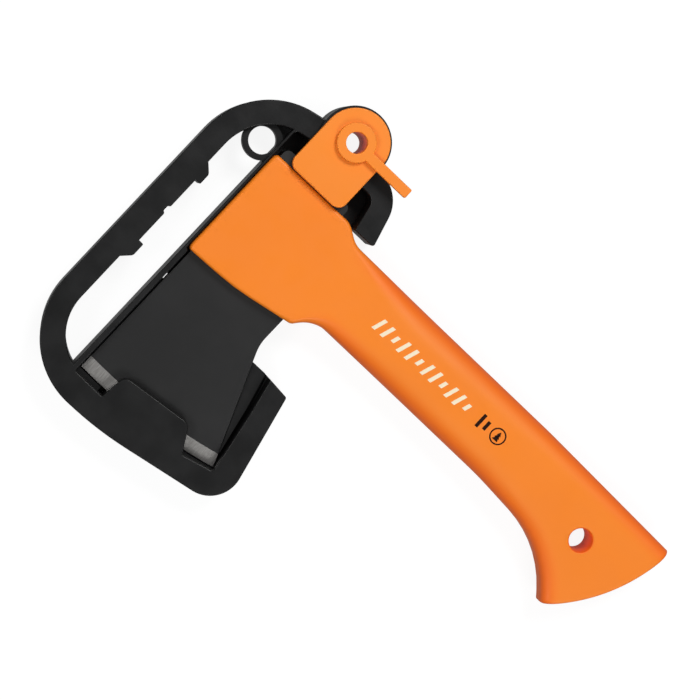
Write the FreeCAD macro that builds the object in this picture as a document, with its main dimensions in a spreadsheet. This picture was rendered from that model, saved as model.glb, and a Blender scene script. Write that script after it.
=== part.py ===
import FreeCAD, Part
import math
import os

import Sketcher
from FreeCAD import Placement, Rotation, Vector

# A camping hatchet locked in its carrying sheath, lying on its side.
# Everything is drawn in the hatchet's own axes: X runs along the handle to the butt, Y runs from the
# cutting edge to the poll, Z is the thickness, and Z = 0 is the middle plane of the blade.
# Each sub-part's Placement then moves it so that the origin is under the middle of the whole object.

SIZES = {
    # where the origin of the finished part lies in the hatchet's own axes
    "origin_along": 100.4,
    "origin_across": -46.24,
    # levels through the thickness
    "frame_back": -12.0,
    "washer_seat": -10.2,
    "floor_level": -10.3,
    "core_out_top": -6.6,
    "bed_level": -4.3,
    "eyelet_back": -3.0,
    "web_face": -0.5,
    "edge_rest": 0.8,
    "heel_rest": 1.2,
    "tongue_back": 2.4,
    "eyelet_face": 3.0,
    "frame_front": 7.0,
    "lip_back": 7.3,
    "spring_seat": 9.2,
    "lug_front": 10.0,
    "plate_back": 10.3,
    "rivet_seat": 11.6,
    "plate_front": 13.3,
    "lever_front": 15.8,
    # steel head
    "edge_centre_along": 12.6,
    "edge_centre_across": 120.9,
    "edge_sweep": 238.0,
    "bevel_width": 5.7,
    "shoulder_from_edge_centre": 20.0,
    "cheek_from_edge_centre": 51.0,
    "edge_gap": 0.6,
    "poll_width": 34.6,
    "poll_top": 3.5,
    "poll_half": 8.8,
    "cheek_half": 5.0,
    "bevel_half": 1.5,
    "edge_half": 0.15,
    # moulded handle
    "butt_radius": 80.0,
    "butt_rim": 2.0,
    "housing_rim": 1.5,
    "grip_rim": 6.0,
    "far_rim": 5.0,
    "rim_grown": 92.0,
    "housing_half": 9.8,
    "grip_half": 10.1,
    "butt_half": 7.7,
    "past_butt": 245.0,
    "side_depth": 260.0,
    "hang_along": 198.1,
    "hang_across": -30.2,
    "hang_radius": 5.0,
    "hang_boss": 8.0,
    "core_half": 7.0,
    "core_rim": 4.0,
    "plug_inset": 1.2,
    "plug_depth": 5.0,
    # lock
    "pivot_along": 18.05,
    "pivot_across": 23.55,
    "tube_bore": 4.3,
    "tube_outer": 5.2,
    "rivet_head": 7.0,
    "rivet_clear": 7.3,
    "rivet_thick": 0.8,
    "rivet_sunk": 0.3,
    "plate_bore": 5.5,
    "plate_radius": 13.95,
    "plate_foot": -1.05,
    "plate_corner": 4.0,
    "arm_tip": 47.3,
    "arm_low": 20.7,
    "arm_high": 25.1,
    "lug_radius": 14.9,
    "boss_radius": 8.05,
    "lip_inner": 15.2,
    "lip_outer": 19.7,
    "spring_outer": 9.0,
    "spring_clear": 9.3,
    "spring_rise": 0.5,
    "spring_thick": 0.4,
    # sheath
    "eyelet_along": -9.3,
    "eyelet_across": -0.9,
    "eyelet_radius": 5.7,
    "eyelet_ring": 8.2,
    "core_out_left": 3.0,
    "core_out_low": -114.0,
    "core_out_long": 22.5,
    "core_out_wide": 12.4,
    "core_out_rib": 2.4,
    "frame_rim": 0.5,
    "lock_rim": 0.4,
}

doc = FreeCAD.newDocument("hatchet_in_sheath")


def make_sheet():
    """Put the driving dimensions in a spreadsheet, one named cell each."""
    table = doc.addObject("Spreadsheet::Sheet", "sizes")
    for row, (name, value) in enumerate(SIZES.items(), start=1):
        table.set(f"A{row}", name)
        table.set(f"B{row}", str(value))
        table.setAlias(f"B{row}", name)
    doc.recompute()
    return table


sheet = make_sheet()


def size(name):
    """A driving dimension, read from the spreadsheet."""
    return float(sheet.get(name))


# ---------------------------------------------------------------------------------------------
# Drawing helpers
# ---------------------------------------------------------------------------------------------

def rounded(corners):
    """Closed outline of straight sides and tangent corner arcs; each corner is (x, y, radius)."""
    arcs = []
    for index, (x, y, radius) in enumerate(corners):
        corner = Vector(x, y, 0)
        back = Vector(*corners[index - 1][:2], 0) - corner
        ahead = Vector(*corners[(index + 1) % len(corners)][:2], 0) - corner
        half_angle = back.getAngle(ahead) / 2
        back.normalize()
        ahead.normalize()
        reach = radius / math.tan(half_angle)
        middle = (back + ahead).normalize() * (radius / math.sin(half_angle) - radius)
        arcs.append((corner + back * reach, corner + middle, corner + ahead * reach))
    outline = []
    for index, (start, middle, end) in enumerate(arcs):
        if corners[index][2] > 0:
            outline.append(Part.Arc(start, middle, end))
        following = arcs[(index + 1) % len(arcs)][0]
        if (following - end).Length > 1e-4:
            outline.append(Part.LineSegment(end, following))
    return outline


def box_outline(left, right, bottom, top, radius=0.0):
    """Rectangle with equal corner radii."""
    return rounded([(left, bottom, radius), (right, bottom, radius),
                    (right, top, radius), (left, top, radius)])


def place(part):
    """Move a sub-part from the hatchet's own axes to the finished part's frame."""
    part.setExpression(".Placement.Base.x", "-sizes.origin_along")
    part.setExpression(".Placement.Base.y", "-sizes.origin_across")
    part.setExpression(".Placement.Base.z", "-sizes.frame_back")


def new_body(label):
    body = doc.addObject("PartDesign::Body", label)
    body.Label = label
    place(body)
    return body


def new_sketch(body, name, outline, level="", plane="XY_Plane"):
    """Sketch on one of the body's origin planes, lifted to a level of the spreadsheet."""
    sketch = body.newObject("Sketcher::SketchObject", name)
    support = next(item for item in body.Origin.OriginFeatures if item.Role == plane)
    sketch.AttachmentSupport = [(support, "")]
    sketch.MapMode = "FlatFace"
    sketch.addGeometry(outline, False)
    if level:
        sketch.setExpression(".AttachmentOffset.Base.z", level)
    return sketch


def round_sketch(body, name, along, across, radius, level):
    """Sketch of one circle whose centre and radius follow the spreadsheet."""
    circle = [Part.Circle(Vector(0, 0, 0), Vector(0, 0, 1), size(radius))]
    sketch = new_sketch(body, name, circle, level)
    sketch.setExpression(".AttachmentOffset.Base.x", f"sizes.{along}")
    sketch.setExpression(".AttachmentOffset.Base.y", f"sizes.{across}")
    bound = sketch.addConstraint(Sketcher.Constraint("Radius", 0, size(radius)))
    sketch.setExpression(f"Constraints[{bound}]", f"sizes.{radius}")
    return sketch


def pad(body, name, sketch, low, high):
    """Fill a sketch from one level to a higher one; the sketch lies at the lower level."""
    feature = body.newObject("PartDesign::Pad", name)
    feature.Profile = sketch
    feature.setExpression("Length", f"{high} - ({low})")
    return feature


def prism(body, name, outline, low, high):
    sketch = new_sketch(body, name + "_outline", outline, low)
    return pad(body, name, sketch, low, high)


def disc(body, name, along, across, radius, low, high):
    sketch = round_sketch(body, name + "_outline", along, across, radius, low)
    return pad(body, name, sketch, low, high)


def cut(body, name, sketch, low, high):
    """Cut a sketch from its own higher level down to a lower one, and check that it cut."""
    doc.recompute()
    before = body.Shape.Volume
    feature = body.newObject("PartDesign::Pocket", name)
    feature.Profile = sketch
    feature.setExpression("Length", f"{high} - ({low})")
    doc.recompute()
    if body.Shape.Volume > before - 0.01:
        raise RuntimeError(f"{name} cut nothing")
    return feature


def opening(body, name, outline, low, high):
    return cut(body, name, new_sketch(body, name + "_outline", outline, high), low, high)


def bore(body, name, along, across, radius, low, high):
    sketch = round_sketch(body, name + "_outline", along, across, radius, high)
    return cut(body, name, sketch, low, high)


def edge_names(shape, wanted):
    """Names of the edges that a test on the edge picks out."""
    return [f"Edge{number}" for number, edge in enumerate(shape.Edges, start=1) if wanted(edge)]


def lies_at(edge, level):
    return abs(edge.BoundBox.ZMin - level) < 1e-4 and abs(edge.BoundBox.ZMax - level) < 1e-4


def round_edges(body, name, radius, wanted):
    """Fillet the edges of the body's last feature that a test picks out."""
    doc.recompute()
    tip = body.Tip
    feature = body.newObject("PartDesign::Fillet", name)
    feature.Base = (tip, edge_names(tip.Shape, wanted))
    feature.setExpression("Radius", f"sizes.{radius}")
    return feature


def boolean(kind, label, base, tool):
    """Cut, fuse or intersect two placed shapes."""
    result = doc.addObject(kind, label)
    result.Base = base
    result.Tool = tool
    result.Label = label
    return result


# ---------------------------------------------------------------------------------------------
# Steel head
# ---------------------------------------------------------------------------------------------

def make_head():
    """Forged head: a flat outline cut from a wedge that is turned about the sweep of the edge."""
    heel_slope = 0.42
    heel_start = (46.1, -61.5)
    below_edge = -125.0
    heel_end = heel_start[0] + heel_slope * (heel_start[1] - below_edge)
    outline = rounded([
        (0, below_edge, 0), (heel_end, below_edge, 0), (*heel_start, 18),
        (46.1, -44, 4), (size("poll_width"), -30, 10), (size("poll_width"), size("poll_top"), 2.5),
        (0, size("poll_top"), 2.5),
    ])
    form = new_body("head_form")
    prism(form, "head_outline", outline, "-sizes.poll_half", "sizes.poll_half")

    wedge = new_body("head_wedge")
    edge = size("edge_sweep")
    bevel = edge - size("bevel_width")
    cheek = size("edge_centre_across") + size("cheek_from_edge_centre")
    shoulder = size("edge_centre_across") + size("shoulder_from_edge_centre")
    clear_of_poll = 4
    inside = size("edge_centre_across") - size("poll_top") - clear_of_poll
    heights = [(inside, size("poll_half")), (shoulder, size("poll_half")), (cheek, size("cheek_half")),
               (bevel, size("bevel_half")), (edge, size("edge_half"))]
    profile = [(radius, height, 0) for radius, height in heights]
    profile += [(radius, -height, 0) for radius, height in reversed(heights)]
    sketch = new_sketch(wedge, "wedge_profile", rounded(profile), "-sizes.edge_centre_across", "XZ_Plane")
    sketch.setExpression(".AttachmentOffset.Base.x", "sizes.edge_centre_along")
    turned = wedge.newObject("PartDesign::Revolution", "wedge_turned")
    turned.Profile = sketch
    turned.ReferenceAxis = (sketch, ["V_Axis"])
    turned.Angle = 360
    return boolean("Part::Common", "axe_head", form, wedge)


# ---------------------------------------------------------------------------------------------
# Moulded handle
# ---------------------------------------------------------------------------------------------

def handle_outline():
    """Housing round the head, its shoulders, the grip and its flare, run on past the butt."""
    far = size("past_butt")
    flare_slope = 1.15
    flare = (188.8, -42.6)
    return rounded([
        (-1.9, -1.1, 2), (38.9, -1.1, 8), (46.5, -5.9, 10), (160, -6.3, 200), (far, -8.9, 0),
        (far, flare[1] - flare_slope * (far - flare[0]), 0), (*flare, 47), (150, -39.7, 150),
        (55.4, -39.1, 15), (49.2, -47.0, 2), (22, -52.0, 100), (-1.9, -52.8, 2),
    ])


def thickness_outline():
    """Side view of the handle: flat housing, slightly fuller grip, thinner butt."""
    stations = [(-10, size("housing_half"), 0), (size("rim_grown"), size("grip_half"), 0),
                (size("past_butt"), size("butt_half"), 0)]
    return stations + [(along, -half, radius) for along, half, radius in reversed(stations)]


def rim_radius(along):
    """Radius of the long rims: small on the housing, large on the grip, easing off to the butt."""
    housing_end = 50.0
    grip_end = 150.0
    grown = size("rim_grown")
    if along < grown:
        share = max(0.0, (along - housing_end) / (grown - housing_end))
        return size("housing_rim") + share * (size("grip_rim") - size("housing_rim"))
    share = max(0.0, (along - grip_end) / (size("past_butt") - grip_end))
    return size("grip_rim") + share * (size("far_rim") - size("grip_rim"))


def is_long_rim(edge):
    """An edge of the handle's blank that runs along its outline, front or back."""
    box = edge.BoundBox
    flat = 0.2
    far = size("past_butt") - size("origin_along")
    housing_end = -size("origin_along")
    upright = box.ZLength > size("housing_half")
    crossing = box.XLength < flat and box.YLength > size("hang_radius") and box.XMin > housing_end
    return not upright and not crossing and box.XMin < far - flat


def make_handle_outside():
    """Plan and side views of the handle meet, and its long rims are rounded; the butt is untrimmed."""
    plan = new_body("handle_plan")
    prism(plan, "plan_block", handle_outline(), "sizes.frame_back", "sizes.lever_front")
    side = new_body("handle_side")
    sketch = new_sketch(side, "side_outline", rounded(thickness_outline()), "0", "XZ_Plane")
    block = side.newObject("PartDesign::Pad", "side_block")
    block.Profile = sketch
    block.setExpression("Length", "sizes.side_depth")
    block.Midplane = True
    blank = boolean("Part::Common", "handle_blank", plan, side)
    doc.recompute()
    outside = doc.addObject("Part::Fillet", "handle_outside")
    outside.Base = blank
    outside.Edges = [(number, *[rim_radius(end.X + size("origin_along")) for end in edge.Vertexes])
                     for number, edge in enumerate(blank.Shape.Edges, start=1) if is_long_rim(edge)]
    return outside


# Corners of the butt's bowed face, each with the way it moves when the face is set inwards.
BUTT_FACE = (
    ((231.3, 0.0), (-1.0, 0.0)),
    ((226.7, -39.9), (-0.94, 0.33)),
    ((186.0, -79.0), (-0.9, 0.45)),
)


def butt_corners(inset):
    """Upper, middle and lower corner of the butt's face, moved towards the hatchet by an inset."""
    return [(x + along * inset, y + across * inset) for (x, y), (along, across) in BUTT_FACE]


def butt_trim(label, inset):
    """Everything past the butt's bowed face."""
    upper, middle, lower = butt_corners(inset)
    below = -110
    beyond = 270
    trim = new_body(label)
    outline = rounded([(*upper, 0), (*middle, size("butt_radius") - inset), (*lower, 0),
                       (lower[0], below, 0), (beyond, below, 0), (beyond, upper[1], 0)])
    prism(trim, label + "_block", outline, "sizes.frame_back", "sizes.lever_front")
    return trim


def make_core():
    """Hollow inside the grip, open at the butt, with a boss left round the hanging hole."""
    core = new_body("grip_core")
    outline = rounded([(66, -9.8, 5), (160, -10.0, 0), (240, -12.4, 0), (240, -94, 0),
                       (186.4, -38.6, 44), (66, -35.4, 5)])
    prism(core, "core_block", outline, "-sizes.core_half", "sizes.core_half")
    levels = [size("core_half"), -size("core_half")]
    open_end = 235
    round_edges(core, "core_rims", "core_rim",
                lambda edge: any(lies_at(edge, level) for level in levels) and edge.BoundBox.XMin < open_end)
    bore(core, "hanging_boss", "hang_along", "hang_across", "hang_boss", "-sizes.core_half",
         "sizes.core_half")
    return core


def make_handle(head):
    """One hollow moulding that grips the head, and the plug that closes its butt."""
    trimmed = boolean("Part::Cut", "handle_trimmed", make_handle_outside(), butt_trim("butt_space", 0.0))
    doc.recompute()
    rim = doc.addObject("Part::Fillet", "handle_rimmed")
    rim.Base = trimmed
    rim.Edges = [(number, size("butt_rim"), size("butt_rim"))
                 for number, edge in enumerate(trimmed.Shape.Edges, start=1) if is_butt_edge(edge)]
    core = make_core()
    doc.recompute()
    hollow = boolean("Part::Cut", "handle_hollow", rim, core)
    headed = boolean("Part::Cut", "handle_headed", hollow, head)
    hang = new_body("hanging_bore")
    disc(hang, "hanging_cylinder", "hang_along", "hang_across", "hang_radius", "sizes.frame_back",
         "sizes.lever_front")
    shell = boolean("Part::Cut", "handle_shell", headed, hang)
    return shell, core


def is_butt_edge(edge):
    """An edge that lies on the butt's bowed face."""
    centre = butt_centre()
    radius = size("butt_radius")
    close = 0.02
    if edge.BoundBox.XMin < size("rim_grown"):
        return False
    return all(abs(math.hypot(point.x - centre.x, point.y - centre.y) - radius) < close
               for point in edge.discretize(5))


def butt_centre():
    """Centre of the butt's bowed face, in the finished part's frame."""
    upper, middle, lower = [Vector(*corner, 0) for corner in butt_corners(0.0)]
    up = (upper - middle).normalize()
    down = (lower - middle).normalize()
    half_angle = up.getAngle(down) / 2
    centre = middle + (up + down).normalize() * (size("butt_radius") / math.sin(half_angle))
    return centre - Vector(size("origin_along"), size("origin_across"), 0)


def make_end_plug(core):
    """Plug that fills the mouth of the hollow grip, just inside the butt's rim."""
    inner = butt_trim("plug_space", size("plug_inset") + size("plug_depth"))
    outer = butt_trim("plug_limit", size("plug_inset"))
    stub = boolean("Part::Common", "plug_stub", core, inner)
    return boolean("Part::Cut", "handle_end_plug", stub, outer)


# ---------------------------------------------------------------------------------------------
# Sheath
# ---------------------------------------------------------------------------------------------

def sheath_outline():
    """Carrying loop, bottom pocket, heel wall, the rail along the blade and the hook over the handle."""
    return rounded([
        (5, 22.7, 0), (-29.3, 15.8, 34.5), (-29.3, -131.0, 35), (22, -130.9, 150),
        (80.6, -120.7, 13.6), (68.7, -69.8, 1.2), (57.0, -68.7, 1), (-1.0, -68.6, 0.5),
        (-1.0, -53.8, 0.5), (-2.2, -53.0, 0.5), (-2.2, -12, 0), (36, -12, 1), (36, -1.7, 0.5),
        (52.7, -1.7, 1.2), (46.0, 22.3, 15.4), (25, 22.5, 0),
    ])


def hand_opening_outline():
    """Space for the fingers inside the loop, with two grip lugs and the pad between them."""
    return rounded([
        (-3.4, 10.6, 0), (-19.3, 4.5, 24.6), (-19.3, -22.2, 0.6), (-15.6, -25.8, 2.2), (-15.6, -31.0, 0.5),
        (-18.0, -31.0, 0.3), (-18.0, -45.6, 1), (-19.0, -46.2, 0.6), (-19.0, -48.6, 0.6), (-18.0, -49.2, 1),
        (-18.0, -64.0, 0.3), (-15.6, -64.0, 0.5), (-15.6, -70.0, 2.2), (-19.3, -73.8, 0.6),
        (-19.3, -112.8, 22.6), (-3.4, -117.9, 0),
    ])


def poll_recess_outline():
    """Space behind the lock plate where the poll sits, open towards the handle."""
    return rounded([
        (-2.2, -20, 0), (-2.2, 11.0, 2), (6, 12.7, 6), (39.4, 12.7, 4.5), (42.8, -4, 0), (42.8, -20, 0),
    ])


def pocket_mouth_outline():
    """Front opening of the bottom pocket: a window at the toe, a window at the heel, a tongue between."""
    return rounded([
        (-1.0, -60, 0), (-1.0, -119.4, 1), (13.8, -119.7, 0.5), (15.0, -107.6, 4.2), (46.9, -104.2, 3.5),
        (53.6, -115.2, 0.5), (67.2, -111.7, 1.2), (62.2, -84, 100), (56.9, -60, 0),
    ])


def blade_slot_outline():
    """Slot behind the tongue that takes the cutting edge."""
    return rounded([
        (-1.0, -95, 0), (-1.0, -119.4, 1), (13.8, -119.7, 0.5), (53.6, -115.2, 10), (67.2, -111.7, 1.2),
        (64.2, -95, 0),
    ])


def heel_groove_outline():
    """Narrow groove between the blade's bed and the heel wall."""
    return rounded([
        (57.9, -67.5, 0), (62.2, -84, 100), (67.0, -110.6, 0), (65.1, -110.6, 0), (60.4, -84, 100),
        (56.0, -67.5, 0),
    ])


def edge_rest_outline():
    """Strip of the pocket's floor that stands just clear of the cutting edge."""
    centre = Vector(size("edge_centre_along"), size("edge_centre_across"), 0)
    reach = size("edge_sweep") + size("edge_gap")
    left, right, lowest = -1.5, 67.0, -121.5
    ends = [centre + Vector(x - centre.x, -math.sqrt(reach ** 2 - (x - centre.x) ** 2), 0)
            for x in (left, (left + right) / 2, right)]
    corners = [Vector(right, lowest, 0), Vector(left, lowest, 0)]
    return [Part.Arc(*ends), Part.LineSegment(ends[2], corners[0]),
            Part.LineSegment(*corners), Part.LineSegment(corners[1], ends[0])]


def heel_rest_outline():
    """Strip of the pocket's floor beside the heel of the blade."""
    return rounded([
        (49.6, -68.6, 0), (56.4, -68.6, 0), (60.4, -84, 100), (64.8, -104.6, 0), (64.5, -104.6, 0),
    ])


def cut_core_outs(sheath):
    """Hollows in the back of the pocket, two by three, with ribs between them, that keep its walls even."""
    long, wide, rib = size("core_out_long"), size("core_out_wide"), size("core_out_rib")
    for row in range(3):
        low = size("core_out_low") + row * (wide + rib)
        for column in range(2):
            left = size("core_out_left") + column * (long + rib)
            outline = box_outline(left, left + long, low, low + wide, 2)
            opening(sheath, f"core_out_{row}_{column}", outline, "sizes.frame_back", "sizes.core_out_top")


def eyelet_web_outline():
    """Thin web that joins the eyelet's ring to the loop and the rail."""
    return rounded([
        (-17.0, 3.0, 1), (-9.2, -0.7, 0), (-2.8, -0.7, 0), (-2.8, 13.0, 0), (-12.0, 9.0, 0),
    ])


def make_sheath():
    """One moulding that carries, guards and locks the hatchet."""
    sheath = new_body("sheath_frame")
    back = "sizes.frame_back"
    floor = "sizes.floor_level"
    front = "sizes.frame_front"
    prism(sheath, "sheath_block", sheath_outline(), back, front)
    opening(sheath, "hand_opening", hand_opening_outline(), back, front)
    prism(sheath, "eyelet_web", eyelet_web_outline(), "sizes.eyelet_back", "sizes.web_face")
    disc(sheath, "eyelet_boss", "eyelet_along", "eyelet_across", "eyelet_ring", "sizes.eyelet_back",
         "sizes.eyelet_face")
    bore(sheath, "eyelet_hole", "eyelet_along", "eyelet_across", "eyelet_radius", "sizes.eyelet_back",
         "sizes.eyelet_face")
    opening(sheath, "poll_recess", poll_recess_outline(), floor, front)
    opening(sheath, "pocket_mouth", pocket_mouth_outline(), "sizes.bed_level", front)
    opening(sheath, "blade_slot", blade_slot_outline(), "sizes.bed_level", "sizes.tongue_back")
    opening(sheath, "heel_groove", heel_groove_outline(), floor, "sizes.bed_level")
    prism(sheath, "edge_rest_strip", edge_rest_outline(), "sizes.bed_level", "sizes.edge_rest")
    prism(sheath, "heel_rest_strip", heel_rest_outline(), "sizes.bed_level", "sizes.heel_rest")
    opening(sheath, "toe_slot", box_outline(11.4, 13.8, -119.6, -117.4, 0.3), floor, "sizes.edge_rest")
    prism(sheath, "rail_flange", box_outline(-3.0, 6.0, -66.0, -11.5, 0.0), back, floor)
    cut_core_outs(sheath)
    round_edges(sheath, "front_rims", "frame_rim", lambda edge: lies_at(edge, size("frame_front")))
    disc(sheath, "lug", "pivot_along", "pivot_across", "lug_radius", back, "sizes.lug_front")
    bore(sheath, "lug_bore", "pivot_along", "pivot_across", "tube_outer", back, "sizes.lug_front")
    bore(sheath, "spring_recess", "pivot_along", "pivot_across", "spring_clear", "sizes.spring_seat",
         "sizes.lug_front")
    bore(sheath, "rivet_recess", "pivot_along", "pivot_across", "rivet_clear", back, "sizes.washer_seat")
    return sheath


# ---------------------------------------------------------------------------------------------
# Lock: hollow rivet, washers, swinging plate and its finger lever
# ---------------------------------------------------------------------------------------------

def turned_about_pivot(label, profile):
    """Body turned about the pivot from a profile of (radius, level) corners."""
    body = new_body(label)
    outline = rounded([(radius, level, 0) for radius, level in profile])
    sketch = new_sketch(body, label + "_profile", outline, "-sizes.pivot_across", "XZ_Plane")
    sketch.setExpression(".AttachmentOffset.Base.x", "sizes.pivot_along")
    turned = body.newObject("PartDesign::Revolution", label + "_turned")
    turned.Profile = sketch
    turned.ReferenceAxis = (sketch, ["V_Axis"])
    turned.Angle = 360
    return body


def make_pivot_tube():
    """Hollow rivet with a flange at each end, on which the lock plate swings."""
    inner = size("tube_bore")
    outer = size("tube_outer")
    flange = size("rivet_head")
    thick = size("rivet_thick")
    rear = size("frame_back") + size("rivet_sunk")
    front = size("rivet_seat") + size("rivet_sunk") + thick
    return turned_about_pivot("pivot_tube", [
        (inner, rear), (flange, rear), (flange, rear + thick), (outer, rear + thick),
        (outer, front - thick), (flange, front - thick), (flange, front), (inner, front),
    ])


def make_rear_washer():
    """Flat washer between the sheath and the rivet's rear flange."""
    inner = size("tube_outer")
    outer = size("rivet_head")
    low = size("frame_back") + size("rivet_sunk") + size("rivet_thick")
    high = size("washer_seat")
    return turned_about_pivot("rear_washer", [(inner, low), (outer, low), (outer, high), (inner, high)])


def make_spring_washer():
    """Dished washer that keeps the lock plate from swinging loosely."""
    inner = size("tube_outer")
    outer = size("spring_outer")
    low = size("spring_seat")
    rise = size("spring_rise")
    thick = size("spring_thick")
    return turned_about_pivot("spring_washer", [
        (inner, low + rise), (outer, low), (outer, low + thick), (inner, low + rise + thick),
    ])


def make_lock_plate():
    """Plate with a round end about the pivot, whose rear lip stands in front of the poll."""
    plate = new_body("lock_plate")
    along = size("pivot_along")
    across = size("pivot_across")
    radius = size("plate_radius")
    foot = size("plate_foot")
    corner = size("plate_corner")
    nearly_half_round = radius - 0.01
    outline = rounded([
        (along - radius, foot, corner), (along + radius, foot, corner),
        (along + radius, across + radius, nearly_half_round),
        (along - radius, across + radius, nearly_half_round),
    ])
    prism(plate, "plate_block", outline, "sizes.plate_back", "sizes.plate_front")
    prism(plate, "lock_lip", lip_outline(), "sizes.lip_back", "sizes.plate_back")
    bore(plate, "plate_bore_hole", "pivot_along", "pivot_across", "plate_bore", "sizes.plate_back",
         "sizes.plate_front")
    bore(plate, "rivet_seat_hole", "pivot_along", "pivot_across", "rivet_clear", "sizes.rivet_seat",
         "sizes.plate_front")
    round_edges(plate, "plate_rims", "lock_rim", lambda edge: lies_at(edge, size("plate_front")))
    return plate


def lip_outline():
    """Sector of a ring about the pivot, centred on the direction of the poll."""
    centre = Vector(size("pivot_along"), size("pivot_across"), 0)
    half_angle = 33
    corners = {}
    for side, turn in (("left", -half_angle), ("middle", 0), ("right", half_angle)):
        direction = Vector(math.sin(math.radians(turn)), -math.cos(math.radians(turn)), 0)
        corners[side] = (centre + direction * size("lip_inner"), centre + direction * size("lip_outer"))
    return [
        Part.Arc(corners["left"][0], corners["middle"][0], corners["right"][0]),
        Part.LineSegment(corners["right"][0], corners["right"][1]),
        Part.Arc(corners["right"][1], corners["middle"][1], corners["left"][1]),
        Part.LineSegment(corners["left"][1], corners["left"][0]),
    ]


def make_lock_lever():
    """Finger lever: a ring round the pivot with an arm that stands out past the plate."""
    lever = new_body("lock_lever")
    disc(lever, "lever_ring", "pivot_along", "pivot_across", "boss_radius", "sizes.plate_front",
         "sizes.lever_front")
    arm_root = size("pivot_along") + 2
    arm = box_outline(arm_root, size("arm_tip"), size("arm_low"), size("arm_high"), 0.6)
    prism(lever, "lever_arm", arm, "sizes.plate_front", "sizes.lever_front")
    bore(lever, "lever_bore", "pivot_along", "pivot_across", "tube_bore", "sizes.plate_front",
         "sizes.lever_front")
    round_edges(lever, "lever_rims", "lock_rim", lambda edge: lies_at(edge, size("lever_front")))
    return lever


# ---------------------------------------------------------------------------------------------
# Build, check and write
# ---------------------------------------------------------------------------------------------

def check_document():
    """Stop if any object failed to recompute."""
    for item in doc.Objects:
        if "Invalid" in item.State or "Error" in item.State:
            raise RuntimeError(f"{item.Name} is {item.State}")


def main():
    head = make_head()
    shell, core = make_handle(head)
    parts = [
        head, shell, make_end_plug(core), make_sheath(), make_pivot_tube(), make_rear_washer(),
        make_spring_washer(), make_lock_plate(), make_lock_lever(),
    ]
    doc.recompute()
    check_document()
    for part in parts:
        if part.Shape.isNull() or not part.Shape.isValid() or len(part.Shape.Solids) != 1:
            raise RuntimeError(f"{part.Label} is not one valid solid")
    os.makedirs("parts", exist_ok=True)
    for part in parts:
        part.Shape.exportStep(f"parts/{part.Label}.step")
        box = part.Shape.optimalBoundingBox()
        print(f"{part.Label}: {part.Shape.Volume:.0f} mm3,"
              f" X {box.XMin:.2f} to {box.XMax:.2f}, Y {box.YMin:.2f} to {box.YMax:.2f},"
              f" Z {box.ZMin:.2f} to {box.ZMax:.2f}")


main()
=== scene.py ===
"""A camping hatchet locked in its carrying sheath: the looks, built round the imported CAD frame."""

import logging
import math
from dataclasses import dataclass, field
from enum import Enum

import bmesh
import bpy
from mathutils import Matrix, Vector
from mathutils.bvhtree import BVHTree


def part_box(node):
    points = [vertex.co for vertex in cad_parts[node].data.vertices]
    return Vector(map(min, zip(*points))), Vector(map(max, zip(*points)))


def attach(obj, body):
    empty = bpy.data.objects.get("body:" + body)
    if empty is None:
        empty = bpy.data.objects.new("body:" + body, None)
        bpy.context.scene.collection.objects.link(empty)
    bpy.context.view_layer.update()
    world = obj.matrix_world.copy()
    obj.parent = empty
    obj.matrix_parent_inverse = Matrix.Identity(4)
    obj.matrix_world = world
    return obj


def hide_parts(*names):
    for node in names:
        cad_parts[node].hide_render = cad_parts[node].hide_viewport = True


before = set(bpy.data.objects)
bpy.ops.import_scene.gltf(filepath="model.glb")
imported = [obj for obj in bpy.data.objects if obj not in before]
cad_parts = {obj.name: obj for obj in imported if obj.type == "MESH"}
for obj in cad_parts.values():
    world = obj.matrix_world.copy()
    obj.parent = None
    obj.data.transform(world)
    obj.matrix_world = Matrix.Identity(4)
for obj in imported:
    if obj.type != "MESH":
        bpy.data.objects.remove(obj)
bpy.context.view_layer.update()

LOG = logging.getLogger("hatchet")
MM = 0.001
HANDLE_BODY = "sheath"
# Mesh attribute marking where the handle's orange is deepened as painted shade.
PAINTED_SHADE = "painted_shade_colour"
CORNER_TO_ORIGIN = (1.9, 1.1)
HOUSING_TURN = tuple(math.radians(angle) for angle in range(0, 91, 18))
BUTT_TURN = tuple(math.radians(22.5 * index) for index in range(1, 5))


class Node(Enum):
    """The CAD nodes that are dressed or measured here."""

    HEAD = "axe_head"
    SHELL = "handle_shell"
    PLUG = "handle_end_plug"
    FRAME = "sheath_frame"
    PIN = "pivot_tube"
    REAR_WASHER = "rear_washer"
    SPRING_WASHER = "spring_washer"
    PLATE = "lock_plate"
    LEVER = "lock_lever"


# ---------------------------------------------------------------------------------------------
# Node helpers
# ---------------------------------------------------------------------------------------------


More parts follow.
